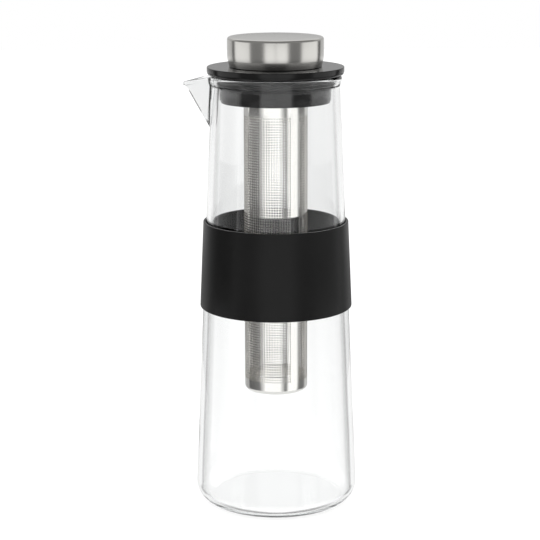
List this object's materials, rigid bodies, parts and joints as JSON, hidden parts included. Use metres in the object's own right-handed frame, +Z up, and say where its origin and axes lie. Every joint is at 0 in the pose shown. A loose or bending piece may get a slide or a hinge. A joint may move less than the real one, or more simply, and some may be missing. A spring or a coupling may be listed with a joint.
{
  "type": "cold brew coffee maker",
  "caption": "Tall tapered glass carafe with a pinched spout, a black grip sleeve, a hanging steel strainer tube and a black lid collar with a steel lift-off cap.",
  "frame": {"origin": "middle of the carafe's flat base, on the surface that it stands on", "axes": "+Z up along the carafe's axis, towards the cap; the spout points along -X and +Y is away from the pictured front"},
  "size_m": [0.1092, 0.1034, 0.2995],
  "materials": {
    "glass": "clear polished borosilicate glass",
    "sleeve_silicone": "matte black moulded silicone",
    "matte_black": "fine matte black moulded plastic",
    "gloss_black": "smooth glossy black plastic",
    "seal_silicone": "satin black silicone seal",
    "filter_steel": "bright stainless steel sheet, finely perforated",
    "cap_steel": "satin brushed stainless steel"
  },
  "bodies": {
    "carafe": {"carafe": "glass"},
    "sleeve": {"grip_sleeve": "sleeve_silicone"},
    "collar": {"collar_flange": "matte_black", "collar_plug": "gloss_black", "neck_seal": "seal_silicone", "filter_gasket": "seal_silicone"},
    "filter": {"filter_rim": "filter_steel", "filter_tube": "filter_steel", "filter_base": "filter_steel"},
    "cap": {"cap_shell": "cap_steel", "cap_core": "matte_black", "cap_plate": "matte_black", "cap_seal": "seal_silicone"}
  },
  "joints": [
    {"name": "collar_lift", "type": "slide", "parent": "carafe", "child": "collar", "axis": [0, 0, 1], "range_m": [0, 0.21]},
    {"name": "filter_lift", "type": "slide", "parent": "collar", "child": "filter", "axis": [0, 0, 1], "range_m": [0, 0.21]},
    {"name": "cap_lift", "type": "slide", "parent": "filter", "child": "cap", "axis": [0, 0, 1], "range_m": [0, 0.05]},
    {"name": "sleeve_slide", "type": "slide", "parent": "carafe", "child": "sleeve", "axis": [0, 0, 1], "range_m": [0, 0.05]}
  ]
}
